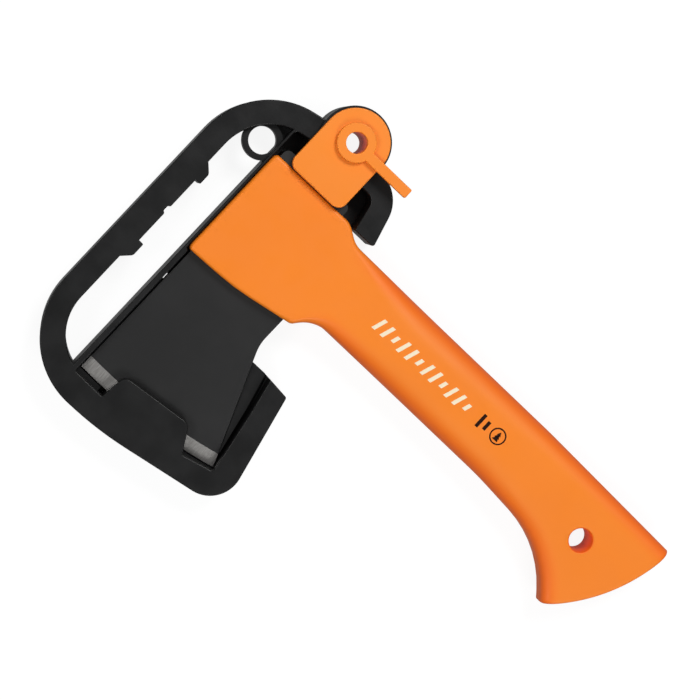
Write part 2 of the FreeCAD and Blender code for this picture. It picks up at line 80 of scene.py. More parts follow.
class NodeTree:
    """A material's node tree with short calls for the nodes that the finishes share."""

    def __init__(self, name: str) -> None:
        """Start a material that holds only its shader and output.

        Args:
            name: The material's name.
        """
        self.material = bpy.data.materials.new(name)
        self.material.use_nodes = True
        self.nodes = self.material.node_tree.nodes
        self.links = self.material.node_tree.links
        self.shader = self.nodes["Principled BSDF"]
        self.coordinates = self.nodes.new("ShaderNodeTexCoord").outputs["Object"]

    def join(self, source: bpy.types.NodeSocket, target: bpy.types.NodeSocket) -> None:
        """Link one socket to another."""
        self.links.new(source, target)

    def noise(self, scale: float, detail: float = 2.0,
              stretch: Vector | None = None) -> bpy.types.NodeSocket:
        """Noise on object coordinates.

        Args:
            scale: Features per metre.
            detail: How many octaves are added.
            stretch: Factors that lengthen the pattern along each axis, or None.

        Returns:
            The socket that holds the noise's value.
        """
        texture = self.nodes.new("ShaderNodeTexNoise")
        texture.inputs["Scale"].default_value = scale
        texture.inputs["Detail"].default_value = detail
        source = self.coordinates
        if stretch is not None:
            mapping = self.nodes.new("ShaderNodeMapping")
            mapping.inputs["Scale"].default_value = stretch
            self.join(source, mapping.inputs["Vector"])
            source = mapping.outputs["Vector"]
        self.join(source, texture.inputs["Vector"])
        return texture.outputs["Fac"]

    def math(self, operation: str, *values: object) -> bpy.types.NodeSocket:
        """A Math node whose inputs are numbers or sockets.

        Args:
            operation: The node's operation.
            values: One entry for each input.

        Returns:
            The socket that holds the result.
        """
        node = self.nodes.new("ShaderNodeMath")
        node.operation = operation
        for socket, value in zip(node.inputs, values):
            if isinstance(value, bpy.types.NodeSocket):
                self.join(value, socket)
            else:
                socket.default_value = value
        return node.outputs[0]

    def spread(self, value: bpy.types.NodeSocket, low: float, high: float, start: float = 0.3,
               end: float = 0.7) -> bpy.types.NodeSocket:
        """Map a value smoothly from one range to another.

        Args:
            value: The socket to map.
            low: Result at the start of the range.
            high: Result at the end of the range.
            start: Value that gives the low result.
            end: Value that gives the high result.

        Returns:
            The socket that holds the mapped value.
        """
        node = self.nodes.new("ShaderNodeMapRange")
        node.interpolation_type = "SMOOTHSTEP"
        for name, number in (("From Min", start), ("From Max", end), ("To Min", low), ("To Max", high)):
            node.inputs[name].default_value = number
        self.join(value, node.inputs["Value"])
        return node.outputs["Result"]

    def blend(self, factor: bpy.types.NodeSocket, first: object, second: object) -> bpy.types.NodeSocket:
        """Mix two colours by a factor.

        Args:
            factor: Zero shows the first colour and one shows the second.
            first: A colour or a colour socket.
            second: A colour or a colour socket.

        Returns:
            The socket that holds the mixed colour.
        """
        node = self.nodes.new("ShaderNodeMix")
        node.data_type = "RGBA"
        self.join(factor, node.inputs["Factor"])
        for socket, value in ((node.inputs[6], first), (node.inputs[7], second)):
            if isinstance(value, bpy.types.NodeSocket):
                self.join(value, socket)
            else:
                socket.default_value = (*value, 1.0)
        return node.outputs[2]

    def bump(self, height: bpy.types.NodeSocket, distance: float, strength: float = 1.0,
             under: bpy.types.NodeSocket | None = None) -> bpy.types.NodeSocket:
        """A Bump node, which may lie over another one.

        Args:
            height: The socket that holds the height.
            distance: Height in metres of a full step.
            strength: Share of the effect that shows.
            under: The normal of the bump below this one, or None.

        Returns:
            The socket that holds the normal.
        """
        node = self.nodes.new("ShaderNodeBump")
        node.inputs["Distance"].default_value = distance
        node.inputs["Strength"].default_value = strength
        self.join(height, node.inputs["Height"])
        if under is not None:
            self.join(under, node.inputs["Normal"])
        return node.outputs["Normal"]

    def separate(self) -> tuple[bpy.types.NodeSocket, ...]:
        """Split the object coordinates.

        Returns:
            Their three separate sockets.
        """
        node = self.nodes.new("ShaderNodeSeparateXYZ")
        self.join(self.coordinates, node.inputs["Vector"])
        return tuple(node.outputs)


# ---------------------------------------------------------------------------------------------
# Finishes
# ---------------------------------------------------------------------------------------------


@dataclass(frozen=True)
class MouldedPlastic:
    """Injection-moulded plastic with a fine spark-eroded texture.

    Attributes:
        name: The material's name.
        colour: The plastic's colour.
        shade: The colour of its slightly darker patches.
        roughness: Its middle roughness.
        specular: Its specular level.
        grain: Texture grains per metre.
        depth: Height of the texture in metres.
        grain_strength: Share of the texture's bump that shows.
        patch_scale: Darker patches per metre.
        handling_scale: Patches of handling per metre.
        handling_swing: How far they move the roughness either way.
        parting: Height of the mould's parting line above the floor in metres, or None.
        parting_width: Width of that line's ridge on each side, in metres.
        parting_depth: Height of the ridge in metres.
        parting_strength: Share of the ridge's bump that shows.
        painted_shade_colour: Painted shade, a deeper colour standing in for the light falling off on the
            moulding's flanks and in its hanging hole, where its mesh marks them, or None.
    """

    name: str
    colour: tuple[float, float, float]
    shade: tuple[float, float, float]
    roughness: float = 0.45
    specular: float = 0.4
    grain: float = 1600.0
    depth: float = 0.00003
    grain_strength: float = 0.55
    patch_scale: float = 22.0
    handling_scale: float = 90.0
    handling_swing: float = 0.05
    parting: float | None = None
    parting_width: float = 0.00025
    parting_depth: float = 0.0001
    parting_strength: float = 0.6
    painted_shade_colour: tuple[float, float, float] | None = None

    def build(self) -> bpy.types.Material:
        """Make the material.

        Returns:
            The finished material.
        """
        tree = NodeTree(self.name)
        tree.shader.inputs["Specular IOR Level"].default_value = self.specular
        patches = tree.noise(self.patch_scale, 3.0)
        colour = tree.blend(tree.spread(patches, 0.0, 1.0), self.colour, self.shade)
        # Painted shade: where the mesh marks it, the colour deepens to stand in for light falling off on
        # the flanks and in the hanging hole.
        if self.painted_shade_colour is not None:
            painted_shade_mask = tree.nodes.new("ShaderNodeAttribute")
            painted_shade_mask.attribute_name = PAINTED_SHADE
            colour = tree.blend(painted_shade_mask.outputs["Fac"], colour, self.painted_shade_colour)
        tree.join(colour, tree.shader.inputs["Base Color"])
        handling = tree.noise(self.handling_scale, 4.0)
        tree.join(tree.spread(handling, self.roughness - self.handling_swing,
                              self.roughness + self.handling_swing),
                  tree.shader.inputs["Roughness"])
        normal = tree.bump(tree.noise(self.grain, 2.0), self.depth, self.grain_strength)
        if self.parting is not None:
            height = tree.separate()[2]
            away = tree.math("ABSOLUTE", tree.math("SUBTRACT", height, self.parting))
            ridge = tree.spread(away, 1.0, 0.0, 0.0, self.parting_width)
            normal = tree.bump(ridge, self.parting_depth, self.parting_strength, normal)
        tree.join(normal, tree.shader.inputs["Normal"])
        return tree.material


@dataclass(frozen=True)
class CoatedSteel:
    """Black low-friction coating over forged steel, ground bare along the cutting edge.

    Attributes:
        name: The material's name.
        centre: Centre of the edge's sweep in the frame, in metres.
        bevel_start: Distance from that centre at which the bare bevel starts.
        coating: Colour of the coating.
        bare: Colour of the ground steel.
        mottle_scale: Lighter patches of the coating per metre.
        mottle: How much lighter they are.
        grind_scale: Grinding marks per metre.
        grind_shade: Brightness of the marks' darker sides.
        ragged_scale: Teeth of the coating's edge per metre.
        ragged_reach: How far they reach, in metres.
        edge_fade: Width of the coating's edge in metres.
        scratch_scale: Scratches per metre.
        roughness: Roughness between the scratches.
        scratch_rough: How much rougher a scratch is.
        specular: Specular level of the coating.
        pore_scale: Pores of the coating per metre.
        pore_depth: Their depth in metres.
        grind_depth: Depth of the grinding marks in metres.
    """

    name: str
    centre: Vector
    bevel_start: float
    coating: tuple[float, float, float] = (0.0098, 0.0098, 0.0100)
    bare: tuple[float, float, float] = (0.41, 0.40, 0.385)
    mottle_scale: float = 34.0
    mottle: float = 1.55
    grind_scale: float = 700.0
    grind_shade: float = 0.72
    ragged_scale: float = 2600.0
    ragged_reach: float = 0.0002
    edge_fade: float = 0.00012
    scratch_scale: float = 300.0
    roughness: float = 0.36
    scratch_rough: float = 0.14
    specular: float = 0.35
    pore_scale: float = 2400.0
    pore_depth: float = 0.00001
    grind_depth: float = 0.00002

    def build(self) -> bpy.types.Material:
        """Make the material.

        Returns:
            The finished material.
        """
        tree = NodeTree(self.name)
        along, across, _ = tree.separate()
        from_centre = tree.math("ABSOLUTE", tree.math("SUBTRACT", along, self.centre.x))
        reach_along = tree.math("POWER", from_centre, 2.0)
        reach_across = tree.math("POWER", tree.math("SUBTRACT", across, self.centre.y), 2.0)
        reach = tree.math("SQRT", tree.math("ADD", reach_along, reach_across))
        ragged = tree.math("MULTIPLY_ADD", tree.noise(self.ragged_scale, 3.0), self.ragged_reach, reach)
        bevel = tree.spread(ragged, 0.0, 1.0, self.bevel_start, self.bevel_start + self.edge_fade)
        scratches = tree.noise(self.scratch_scale, 3.0, Vector((1.4, 12.0, 12.0)))
        grinding = tree.noise(self.grind_scale, 2.0, Vector((5.0, 0.35, 1.0)))
        coating = tree.blend(tree.spread(tree.noise(self.mottle_scale, 5.0), 0.0, 1.0), self.coating,
                             tuple(self.mottle * value for value in self.coating))
        bare = tree.blend(tree.spread(grinding, 0.0, 1.0), self.bare,
                          tuple(self.grind_shade * value for value in self.bare))
        tree.join(tree.blend(bevel, coating, bare), tree.shader.inputs["Base Color"])
        tree.join(bevel, tree.shader.inputs["Metallic"])
        tree.join(tree.math("MULTIPLY_ADD", scratches, self.scratch_rough, self.roughness),
                  tree.shader.inputs["Roughness"])
        tree.shader.inputs["Specular IOR Level"].default_value = self.specular
        pores = tree.bump(tree.noise(self.pore_scale, 2.0), self.pore_depth, 0.5)
        ground = tree.math("MULTIPLY", grinding, bevel)
        tree.join(tree.bump(ground, self.grind_depth, 0.6, pores), tree.shader.inputs["Normal"])
        return tree.material


@dataclass(frozen=True)
class PlatedSteel:
    """Zinc-plated turned steel.

    Attributes:
        name: The material's name.
        colour: Its colour.
        shade: Brightness of its darker turning marks.
        mark_scale: Turning marks per metre.
        mark_depth: Their depth in metres.
        smooth: Roughness where it is smoothest.
        rough: Roughness where it is roughest.
    """

    name: str
    colour: tuple[float, float, float] = (0.55, 0.55, 0.56)
    shade: float = 0.8
    mark_scale: float = 900.0
    mark_depth: float = 0.00001
    smooth: float = 0.26
    rough: float = 0.42

    def build(self) -> bpy.types.Material:
        """Make the material.

        Returns:
            The finished material.
        """
        tree = NodeTree(self.name)
        tree.shader.inputs["Metallic"].default_value = 1.0
        marks = tree.noise(self.mark_scale, 3.0, Vector((1.0, 1.0, 0.3)))
        tree.join(tree.blend(tree.spread(marks, 0.0, 1.0), self.colour,
                             tuple(self.shade * value for value in self.colour)),
                  tree.shader.inputs["Base Color"])
        tree.join(tree.spread(marks, self.smooth, self.rough), tree.shader.inputs["Roughness"])
        tree.join(tree.bump(marks, self.mark_depth, 0.5), tree.shader.inputs["Normal"])
        return tree.material


@dataclass(frozen=True)
class PrintInk:
    """Pad-printed ink, a little worn.

    Attributes:
        name: The material's name.
        colour: The ink's colour.
        specular: Its specular level.
        wear_scale: Worn spots per metre.
        worn_shade: Brightness of the worn spots.
        smooth: Roughness of fresh ink.
        rough: Roughness of worn ink.
    """

    name: str
    colour: tuple[float, float, float]
    specular: float = 0.12
    wear_scale: float = 2200.0
    worn_shade: float = 0.86
    smooth: float = 0.5
    rough: float = 0.65

    def build(self) -> bpy.types.Material:
        """Make the material.

        Returns:
            The finished material.
        """
        tree = NodeTree(self.name)
        tree.shader.inputs["Specular IOR Level"].default_value = self.specular
        worn = tree.noise(self.wear_scale, 3.0)
        tree.join(tree.blend(tree.spread(worn, 0.0, 1.0, 0.55, 0.8), self.colour,
                             tuple(self.worn_shade * value for value in self.colour)),
                  tree.shader.inputs["Base Color"])
        tree.join(tree.spread(worn, self.smooth, self.rough), tree.shader.inputs["Roughness"])
        return tree.material


# ---------------------------------------------------------------------------------------------
# Pieces
# ---------------------------------------------------------------------------------------------


def dress(node: Node, material: bpy.types.Material) -> None:
    """Give a CAD node its finished material in every slot.

    Args:
        node: The node.
        material: The material it gets.
    """
    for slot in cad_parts[node.value].material_slots:
        slot.material = material
    LOG.info("%s wears %s", node.value, material.name)


def hatchet_origin() -> Vector:
    """Where the hatchet's own axes start in the frame.

    Returns:
        The point in millimetres, beside a corner of the handle's box and in its middle plane.
    """
    low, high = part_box(Node.SHELL.value)
    along, across = CORNER_TO_ORIGIN
    return Vector((low.x / MM + along, high.y / MM + across, (low.z + high.z) / 2 / MM))


@dataclass(frozen=True)
class Corner:
    """A corner of an outline in the hatchet's own axes, in millimetres.

    Attributes:
        along: Distance from the housing's end towards the butt.
        across: Distance from the poll's side, negative towards the edge.
        radius: Radius that rounds the corner.
    """

    along: float
    across: float
    radius: float = 0.0


def rounded_chain(corners: tuple[Corner, ...], step: float = 0.12) -> list[Vector]:
    """Points along an open chain whose inner corners are rounded by tangent arcs.

    Args:
        corners: The chain's corners in order.
        step: Angle between points on an arc, in radians.

    Returns:
        The points of the chain, in order.
    """
    places = [Vector((corner.along, corner.across)) for corner in corners]
    points = [places[0]]
    for before, corner, place, after in zip(places, corners[1:], places[1:], places[2:]):
        back = (before - place).normalized()
        ahead = (after - place).normalized()
        half = back.angle(ahead) / 2
        centre = place + (back + ahead).normalized() * (corner.radius / math.sin(half))
        start = place + back * (corner.radius / math.tan(half)) - centre
        turn = start.angle_signed(place + ahead * (corner.radius / math.tan(half)) - centre)
        count = max(2, math.ceil(abs(turn) / step))
        for index in range(count + 1):
            points.append(centre + Matrix.Rotation(-turn * index / count, 2) @ start)
    points.append(places[-1])
    return points


def point_at(chain: list[Vector], along: float) -> Vector:
    """The point of a chain that lies at a distance along the handle.

    Args:
        chain: Points that run steadily along the handle.
        along: The distance in millimetres.

    Returns:
        The point on the chain.
    """
    for first, second in zip(chain, chain[1:]):
        if first.x <= along <= second.x and second.x > first.x:
            return first.lerp(second, (along - first.x) / (second.x - first.x))
    return chain[0].copy() if along < chain[0].x else chain[-1].copy()


def ease(value: float, start: float, end: float) -> float:
    """Smooth step between two values.

    Args:
        value: The value.
        start: Where the step starts.
        end: Where it ends.

    Returns:
        Zero up to the start, one from the end on, and a smooth curve between.
    """
    share = min(1.0, max(0.0, (value - start) / (end - start)))
    return share * share * (3 - 2 * share)


@dataclass
class GripShell:
    """The handle's moulding: flat housing, crowned grip and flared butt. Sizes are in millimetres.

    Attributes:
        upper: The poll side's outline from the housing's end to the butt.
        lower: The edge side's outline from the housing's end to the butt.
        housing_half: Half thickness at the housing.
        grip_half: Half thickness where the grip is fullest.
        butt_half: Half thickness past the butt.
        swelling: Where the half thickness starts to grow.
        fullest: Where the grip is fullest.
        past_butt: Where the half thickness is that of the butt.
        housing_rim: Radius of the housing's rim.
        grip_rim: Width over which the grip's face falls away to its side.
        butt_rim: The same width at the butt.
        widest_rim: Largest share of a cross section that one rim takes.
        grip_drop: Height of the grip's rim, as a share of the half thickness.
        butt_drop: How much of that share the rim loses at the butt.
        crowning: Where the housing's rim starts to grow into the grip's, and where it ends.
        flattening: Where the grip's rim starts to grow into the butt's, and where it ends.
        crown: Power of the curve of the grip's section.
        fine: Stretch at the neck where the cross sections stand closest.
        fine_step: Distance between cross sections there.
        step: Distance between them elsewhere.
        turning: Where the cross sections start to turn towards the butt's face.
        turned: How many cross sections turn.
        butt_bow: How far the butt's face bows out.
        butt_round: Radius of the butt's rim.
        mouth_wall: Wall round the plug's recess.
        mouth_depth: Depth of that recess.
        mouth_bevel: Width and depth of the bevel at its edge.
        hole: Centre of the hanging hole.
        hole_radius: Its radius.
        hole_lip: Width of the rounding at its mouth.
        lip_rows: Inset and drop of the rows of points that round the mouth.
        hole_gap: How far a face's centre may lie inside the mouth and still be kept.
        hole_search: How far past the mouth the opening's edges may lie.
        painted_shade_start: Where the painted shade on the flanks begins, and where it is full.
        painted_shade_reach: How far in from its side the moulding shows that painted shade.
        rim_rows: Rows of faces in the curve of a rim.
        side_rows: Rows of faces between the middle plane and the face.
        face_rows: Rows of faces between the rims.
        sharp: Angle in degrees past which an edge shows sharp.
        upper_chain: Points along the poll side's outline.
        lower_chain: Points along the edge side's outline.
        places: Where the straight cross sections stand.
    """

    upper: tuple[Corner, ...] = (
        Corner(-1.9, -3.4), Corner(-1.9, -1.1, 2.0), Corner(38.9, -1.1, 8.0), Corner(46.5, -5.9, 10.0),
        Corner(160.0, -6.3, 200.0), Corner(229.1, -8.4))
    lower: tuple[Corner, ...] = (
        Corner(-1.9, -50.6), Corner(-1.9, -52.8, 2.0), Corner(22.0, -52.0, 100.0), Corner(49.2, -47.0, 2.0),
        Corner(55.4, -39.1, 15.0), Corner(150.0, -39.7, 150.0), Corner(188.8, -42.6, 47.0),
        Corner(203.9, -59.95))
    housing_half: float = 9.8
    grip_half: float = 10.1
    butt_half: float = 7.7
    swelling: float = 40.0
    fullest: float = 92.0
    past_butt: float = 245.0
    housing_rim: float = 1.5
    grip_rim: float = 14.0
    butt_rim: float = 7.0
    widest_rim: float = 0.46
    grip_drop: float = 0.93
    butt_drop: float = 0.25
    crowning: tuple[float, float] = (38.0, 96.0)
    flattening: tuple[float, float] = (140.0, 225.0)
    crown: float = 2.5
    fine: tuple[float, float] = (30.0, 64.0)
    fine_step: float = 1.0
    step: float = 2.0
    turning: float = 120.0
    turned: int = 110
    butt_bow: float = 5.4
    butt_round: float = 1.0
    mouth_wall: float = 2.0
    mouth_depth: float = 1.5
    mouth_bevel: tuple[float, float] = (0.1, 0.2)
    hole: tuple[float, float] = (198.1, -30.2)
    hole_radius: float = 5.0
    hole_lip: float = 0.5
    lip_rows: tuple[tuple[float, float], ...] = ((0.12, 0.06), (0.34, 0.22))
    hole_gap: float = 0.2
    hole_search: float = 3.0
    painted_shade_start: tuple[float, float] = (42.0, 72.0)
    painted_shade_reach: float = 8.0
    rim_rows: int = 11
    side_rows: int = 13
    face_rows: int = 22
    sharp: float = 50.0
    upper_chain: list[Vector] = field(init=False)
    lower_chain: list[Vector] = field(init=False)
    places: list[float] = field(init=False)

    def __post_init__(self) -> None:
        """Work out the chains and the places of the straight cross sections."""
        self.upper_chain = rounded_chain(self.upper)
        self.lower_chain = rounded_chain(self.lower)
        start = self.upper[0].along
        self.places = [start + self.housing_rim * (1 - math.cos(turn)) for turn in HOUSING_TURN]
        place = self.places[-1]
        while place < self.turning:
            place += self.fine_step if self.fine[0] < place < self.fine[1] else self.step
            self.places.append(place)

    def half_at(self, along: float) -> float:
        """Half thickness of the moulding.

        Args:
            along: Distance along the handle.

        Returns:
            The half thickness there.
        """
        if along < self.fullest:
            grown = ease(along, self.swelling, self.fullest)
            return self.housing_half + (self.grip_half - self.housing_half) * grown
        share = (along - self.fullest) / (self.past_butt - self.fullest)
        return self.grip_half + (self.butt_half - self.grip_half) * share

    def rim_at(self, along: float) -> tuple[float, float]:
        """Size of the curve that rounds the moulding's rim.

        Args:
            along: Distance along the handle.

        Returns:
            Its width and height there.
        """
        grown = ease(along, *self.crowning)
        eased = ease(along, *self.flattening)
        half = self.half_at(along)
        width = self.housing_rim + grown * (self.grip_rim - self.housing_rim)
        width += eased * (self.butt_rim - self.grip_rim)
        height = self.housing_rim + grown * (self.grip_drop * half - self.housing_rim)
        height -= eased * self.butt_drop * half
        return width, height

    def painted_shade_at(self, place: float, inward: float) -> float:
        """How much painted shade a point of the skin shows: the deeper colour standing in for light falling
        off towards the side.

        Args:
            place: Its distance along the handle.
            inward: Its distance from the moulding's side.

        Returns:
            The share, from none on the face to all on the side.
        """
        return ease(place, *self.painted_shade_start) * (1 - ease(inward, 0.0, self.painted_shade_reach))

    def ends_at(self, station: int) -> tuple[Vector, Vector, float]:
        """Lower end, upper end and bow of one cross section in plan.

        Args:
            station: The cross section's number.

        Returns:
            The two ends and how far the section bows towards the butt.
        """
        if station < len(self.places):
            along = self.places[station]
            return point_at(self.lower_chain, along), point_at(self.upper_chain, along), 0.0
        share = (station - len(self.places) + 1) / self.turned
        start = self.places[-1]
        lower_end = self.lower[-1].along
        upper_end = self.upper[-1].along
        low = point_at(self.lower_chain, start + share * (lower_end - start))
        high = point_at(self.upper_chain, start + share * (upper_end - start))
        return low, high, self.butt_bow * share * share

    def section_row(self, low: Vector, high: Vector, row: int) -> tuple[float, float]:
        """One point of a cross section.

        Args:
            low: The section's lower end in plan.
            high: The section's upper end in plan.
            row: The point's number from the lower end.

        Returns:
            Share of the way across, and height above the middle plane.
        """
        rows = 2 * self.side_rows + self.face_rows
        wall_rows = self.side_rows - self.rim_rows
        mirrored = row > rows / 2
        index = rows - row if mirrored else row
        along = (low.x + high.x) / 2
        span = (high - low).length
        half = self.half_at(along)
        width, height = self.rim_at(along)
        width = min(width, self.widest_rim * span)
        if index < wall_rows:
            inward, level = 0.0, (half - height) * index / wall_rows
        elif index <= self.side_rows:
            angle = math.pi / 2 * (index - wall_rows) / self.rim_rows
            power = 2 / (2 + (self.crown - 2) * ease(along, *self.crowning))
            inward = width * (1 - max(0.0, math.cos(angle)) ** power)
            level = half - height + height * math.sin(angle) ** power
        else:
            inward = width + (span - 2 * width) * (index - self.side_rows) / self.face_rows
            level = half
        share = inward / span
        return (1 - share if mirrored else share), level

    def skin(self, shape: bmesh.types.BMesh) -> tuple[list, list]:
        """Shape a grid into the front half of the moulding.

        Args:
            shape: The bmesh that gets the grid.

        Returns:
            The open edges at the housing's end and at the butt.
        """
        rows = 2 * self.side_rows + self.face_rows
        stations = len(self.places) + self.turned - 1
        bmesh.ops.create_grid(shape, x_segments=stations, y_segments=rows, size=1.0)
        ends = [[edge for edge in shape.edges if all(abs(vert.co.x - side) < 0.0001 for vert in edge.verts)]
                for side in (-1, 1)]
        painted_shade_layer = shape.verts.layers.float.new(PAINTED_SHADE)
        for vert in shape.verts:
            station = round((vert.co.x + 1) / 2 * stations)
            row = round((vert.co.y + 1) / 2 * rows)
            low, high, bow = self.ends_at(station)
            share, level = self.section_row(low, high, row)
            if station < len(HOUSING_TURN):
                full = self.half_at(low.x)
                drop = self.housing_rim * (1 - math.sin(HOUSING_TURN[station]))
                level = min(level, level / full * (full - drop))
            across = high - low
            outward = Vector((across.y, -across.x)).normalized()
            place = low + across * share + outward * (4 * bow * share * (1 - share))
            vert.co = (place.x, place.y, level)
            # Painted shade: the orange deepens towards the grip's sides, standing in for the light falling
            # off there.
            vert[painted_shade_layer] = self.painted_shade_at(place.x, min(share, 1 - share) * across.length)
        return ends[0], ends[1]

    def bore(self, shape: bmesh.types.BMesh) -> None:
        """Open the hanging hole through the front half, down to the middle plane, and mark its wall in full
        for the painted shade.

        Args:
            shape: The front half of the moulding.
        """
        centre = Vector(self.hole)
        mouth = self.hole_radius + self.hole_lip
        inside = [face for face in shape.faces
                  if (face.calc_center_median().xy - centre).length < mouth - self.hole_gap]
        bmesh.ops.delete(shape, geom=inside, context="FACES")
        ring = [edge for edge in shape.edges if edge.is_boundary
                and (edge.verts[0].co.xy - centre).length < mouth + self.hole_search]
        for vert in {vert for edge in ring for vert in edge.verts}:
            vert.co.xy = centre + (vert.co.xy - centre).normalized() * mouth
        half = self.half_at(centre.x)
        painted_shade_layer = shape.verts.layers.float[PAINTED_SHADE]
        rows = [(mouth - inset, half - drop) for inset, drop in self.lip_rows]
        for radius, level in (*rows, (self.hole_radius, half - self.hole_lip), (self.hole_radius, 0.0)):
            grown = bmesh.ops.extrude_edge_only(shape, edges=ring)["geom"]
            ring = [item for item in grown if isinstance(item, bmesh.types.BMEdge)]
            for vert in (item for item in grown if isinstance(item, bmesh.types.BMVert)):
                vert.co.xy = centre + (vert.co.xy - centre).normalized() * radius
                vert.co.z = level
                # The hole's wall gets the full painted shade, a deeper orange standing in for the shadow
                # inside the hole.
                vert[painted_shade_layer] = 1.0

    def close_butt(self, shape: bmesh.types.BMesh, ring: list) -> None:
        """Round the butt's rim over and let its face in round the plug.

        Args:
            shape: The front half of the moulding.
            ring: Its open edges at the butt.
        """
        low, high, bow = self.ends_at(len(self.places) + self.turned - 1)
        across = high - low
        span = across.length
        outward = Vector((across.y, -across.x)) / span
        half = self.half_at((low.x + high.x) / 2)
        bevel_width, bevel_depth = self.mouth_bevel
        steps = [(self.butt_round * (1 - math.cos(turn)), self.butt_round * math.sin(turn))
                 for turn in BUTT_TURN]
        steps += [(self.mouth_wall, self.butt_round),
                  (self.mouth_wall + bevel_width, self.butt_round - bevel_depth),
                  (self.mouth_wall + bevel_width, self.butt_round - self.mouth_depth)]
        done = 0.0
        for inset, rise in steps:
            grown = bmesh.ops.extrude_edge_only(shape, edges=ring)["geom"]
            ring = [item for item in grown if isinstance(item, bmesh.types.BMEdge)]
            for vert in (item for item in grown if isinstance(item, bmesh.types.BMVert)):
                share = ((vert.co.xy - low).dot(across) / span ** 2 - done / span) / (1 - 2 * done / span)
                share = inset / span + share * (1 - 2 * inset / span)
                place = low + across * share + outward * (4 * bow * share * (1 - share) + rise)
                vert.co = (place.x, place.y, vert.co.z * (half - inset / 2) / (half - done / 2))
            done = inset
        self.fold_to_middle(shape, ring)

    def fold_to_middle(self, shape: bmesh.types.BMesh, ring: list) -> None:
        """Close an open end with faces that run down to the middle plane.

        Args:
            shape: The front half of the moulding.
            ring: The open edges.
        """
        grown = bmesh.ops.extrude_edge_only(shape, edges=ring)["geom"]
        for vert in (item for item in grown if isinstance(item, bmesh.types.BMVert)):
            vert.co.z = 0.0

    def build(self, material: bpy.types.Material) -> bpy.types.Object:
        """Make the moulding.

        Args:
            material: Its finish.

        Returns:
            The finished piece.
        """
        shape = bmesh.new()
        housing_end, butt_end = self.skin(shape)
        self.fold_to_middle(shape, housing_end)
        self.close_butt(shape, butt_end)
        self.bore(shape)
        bmesh.ops.mirror(shape, geom=shape.verts[:] + shape.edges[:] + shape.faces[:],
                         matrix=Matrix.Identity(4), merge_dist=0.001, axis="Z")
        return make_piece("grip_moulding", shape, material, self.sharp)


def make_piece(name: str, shape: bmesh.types.BMesh, material: bpy.types.Material,
               sharp: float = 40.0) -> bpy.types.Object:
    """Turn a bmesh in the hatchet's own axes into a finished piece of the handle.

    Args:
        name: The piece's name.
        shape: The bmesh in millimetres, which is freed.
        material: Its finish.
        sharp: Angle in degrees past which an edge shows sharp.

    Returns:
        The piece.
    """
    bmesh.ops.remove_doubles(shape, verts=shape.verts, dist=0.002)
    bmesh.ops.dissolve_degenerate(shape, edges=shape.edges, dist=0.0005)
    bmesh.ops.recalc_face_normals(shape, faces=shape.faces)
    bmesh.ops.translate(shape, verts=shape.verts, vec=hatchet_origin())
    bmesh.ops.scale(shape, verts=shape.verts, vec=(MM, MM, MM))
    for face in shape.faces:
        face.smooth = True
    for edge in shape.edges:
        edge.smooth = len(edge.link_faces) == 2 and edge.calc_face_angle(0.0) < math.radians(sharp)
    mesh = bpy.data.meshes.new(name)
    shape.to_mesh(mesh)
    shape.free()
    mesh.materials.append(material)
    piece = bpy.data.objects.new(name, mesh)
    bpy.context.scene.collection.objects.link(piece)
    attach(piece, HANDLE_BODY)
    LOG.info("%s: %d faces", name, len(mesh.polygons))
    return piece


